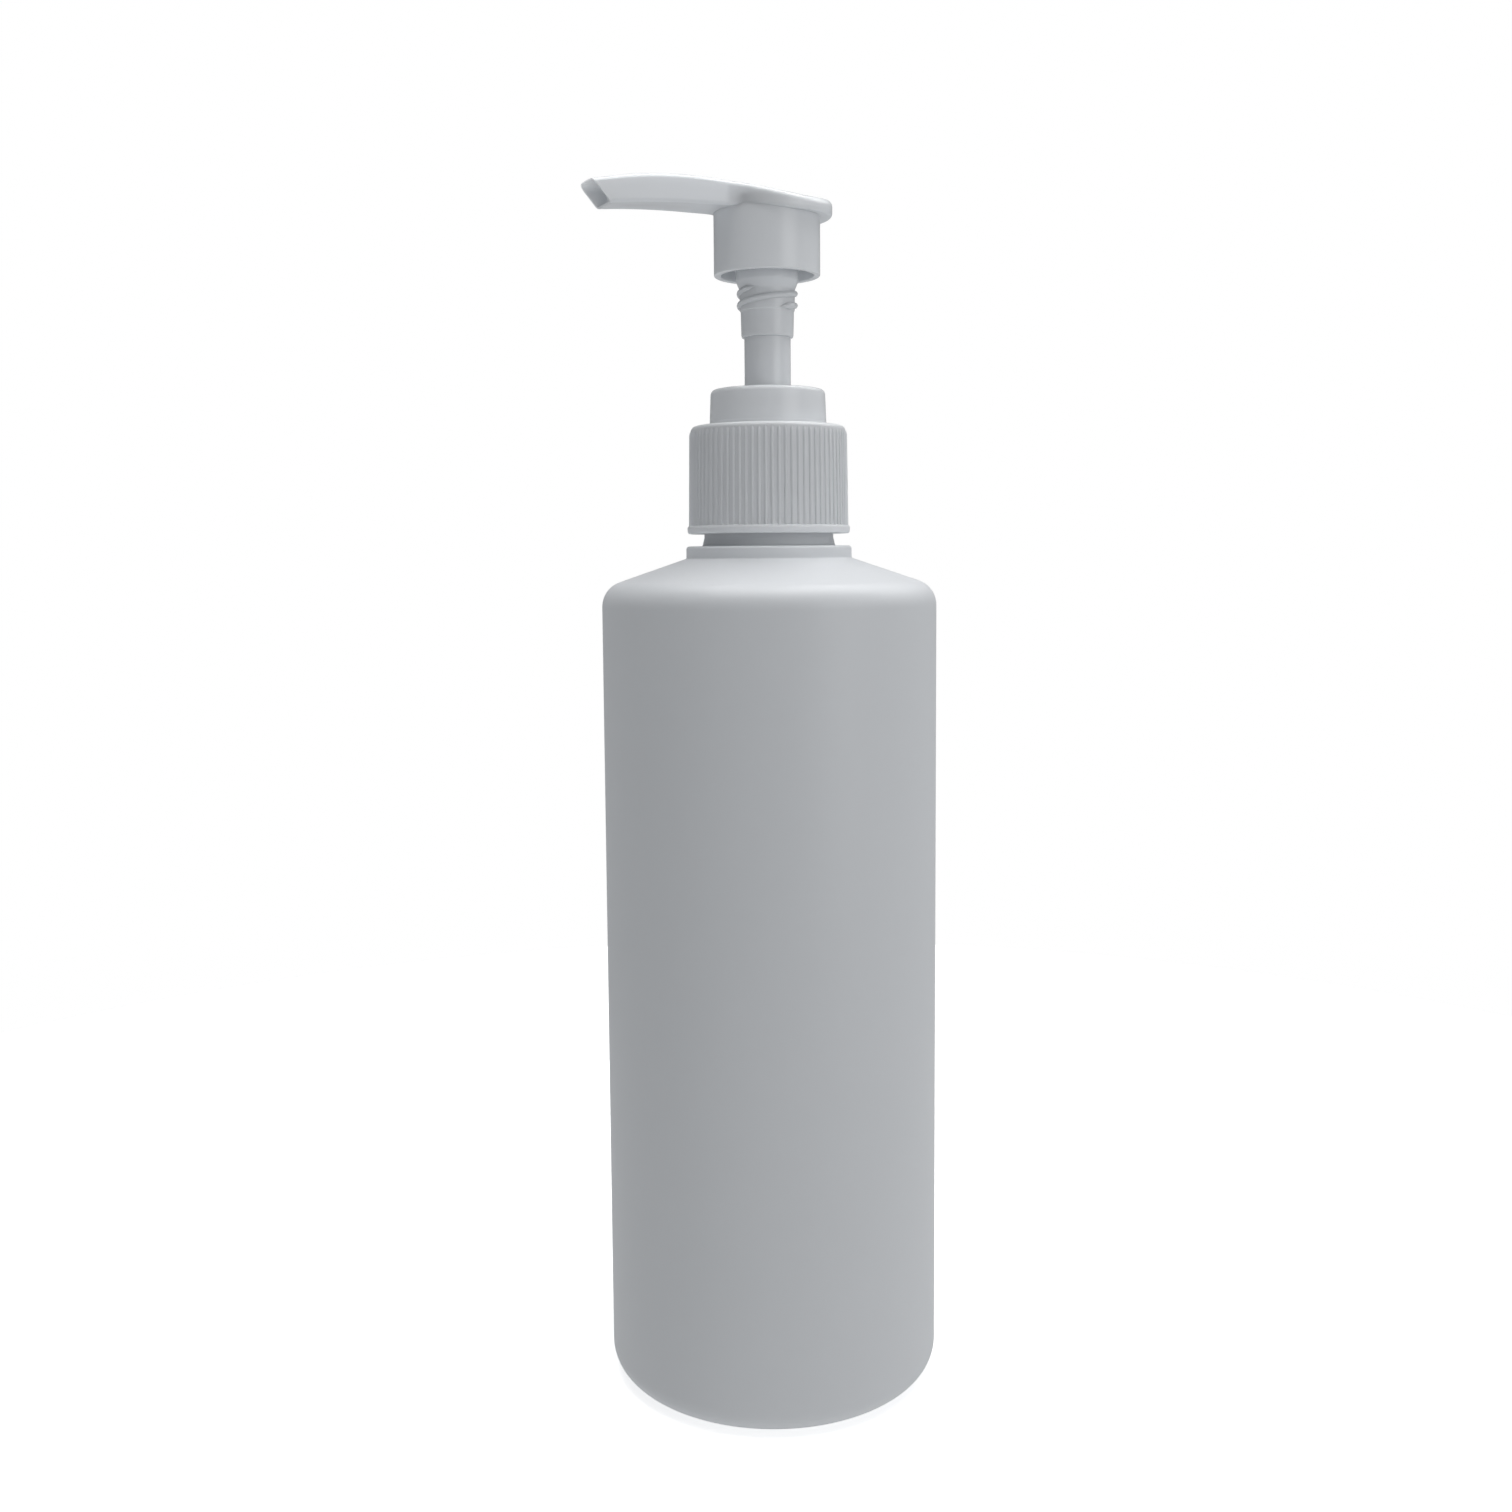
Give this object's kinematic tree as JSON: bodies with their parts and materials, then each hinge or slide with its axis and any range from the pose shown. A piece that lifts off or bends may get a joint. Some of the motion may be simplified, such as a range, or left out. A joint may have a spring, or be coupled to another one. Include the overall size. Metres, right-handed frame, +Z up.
{
  "type": "shampoo bottle",
  "caption": "Cylindrical plastic bottle with a ribbed screw closure, a screw-lock lotion pump, a long flat spout head and a dip tube.",
  "frame": {"origin": "centre of the flat standing ring under the bottle, on the bottle's axis", "axes": "+Z up along the bottle's axis, the spout points along -X at rest"},
  "size_m": [0.0702, 0.066, 0.2365],
  "materials": {
    "bottle_plastic": "satin white HDPE",
    "closure_plastic": "satin white PP",
    "pump_plastic": "semi-gloss white PP",
    "natural_plastic": "milky natural PP",
    "seal_plastic": "soft natural PE",
    "seal_foam": "white PE foam",
    "spring_steel": "drawn stainless wire",
    "ball_steel": "polished stainless ball"
  },
  "bodies": {
    "bottle": {"bottle": "bottle_plastic"},
    "pump": {"pump_housing": "natural_plastic", "lock_collar": "pump_plastic", "gasket": "seal_foam", "dip_tube": "natural_plastic"},
    "closure": {"closure": "closure_plastic"},
    "spring_seat": {"spring_seat": "natural_plastic"},
    "spring": {"return_spring": "spring_steel"},
    "plunger": {"piston_stem": "pump_plastic", "piston_rod": "natural_plastic"},
    "piston_seal": {"piston_seal": "seal_plastic"},
    "head": {"actuator_head": "pump_plastic"},
    "inlet_ball": {"inlet_ball": "ball_steel"}
  },
  "joints": [
    {"name": "pump_lift", "type": "slide", "parent": "bottle", "child": "pump", "axis": [0, 0, 1], "range_m": [0, 0.00635]},
    {"name": "closure_turn", "type": "hinge", "parent": "pump", "child": "closure", "pos_m": [0, 0, 0.18], "axis": [0, 0, 1], "range_deg": [0, 540]},
    {"name": "head_swivel", "type": "hinge", "parent": "pump", "child": "spring_seat", "pos_m": [0, 0, 0.18], "axis": [0, 0, 1], "continuous": true},
    {"name": "pump_stroke", "type": "slide", "parent": "spring_seat", "child": "spring", "axis": [0, 0, -1], "range_m": [0, 0.0146], "stiffness_N_per_m": 600, "springref_m": -0.012, "deforming": ["return_spring"]},
    {"name": "lock_advance", "type": "slide", "parent": "spring", "child": "plunger", "axis": [0, 0, -1], "range_m": [0, 0.00715]},
    {"name": "lock_turn", "type": "hinge", "parent": "plunger", "child": "head", "pos_m": [0, 0, 0.21], "axis": [0, 0, -1], "range_deg": [0, 572.1]},
    {"name": "piston_slip", "type": "slide", "parent": "plunger", "child": "piston_seal", "axis": [0, 0, 1], "range_m": [0, 0.0011]},
    {"name": "inlet_ball_lift", "type": "slide", "parent": "pump", "child": "inlet_ball", "axis": [0, 0, 1], "range_m": [0, 0.0025]}
  ],
  "couplings": [
    {"joint": "closure_turn", "follows": "pump_lift", "rad_per_m": 1484.3},
    {"joint": "lock_turn", "follows": "lock_advance", "rad_per_m": 1396.3}
  ]
}
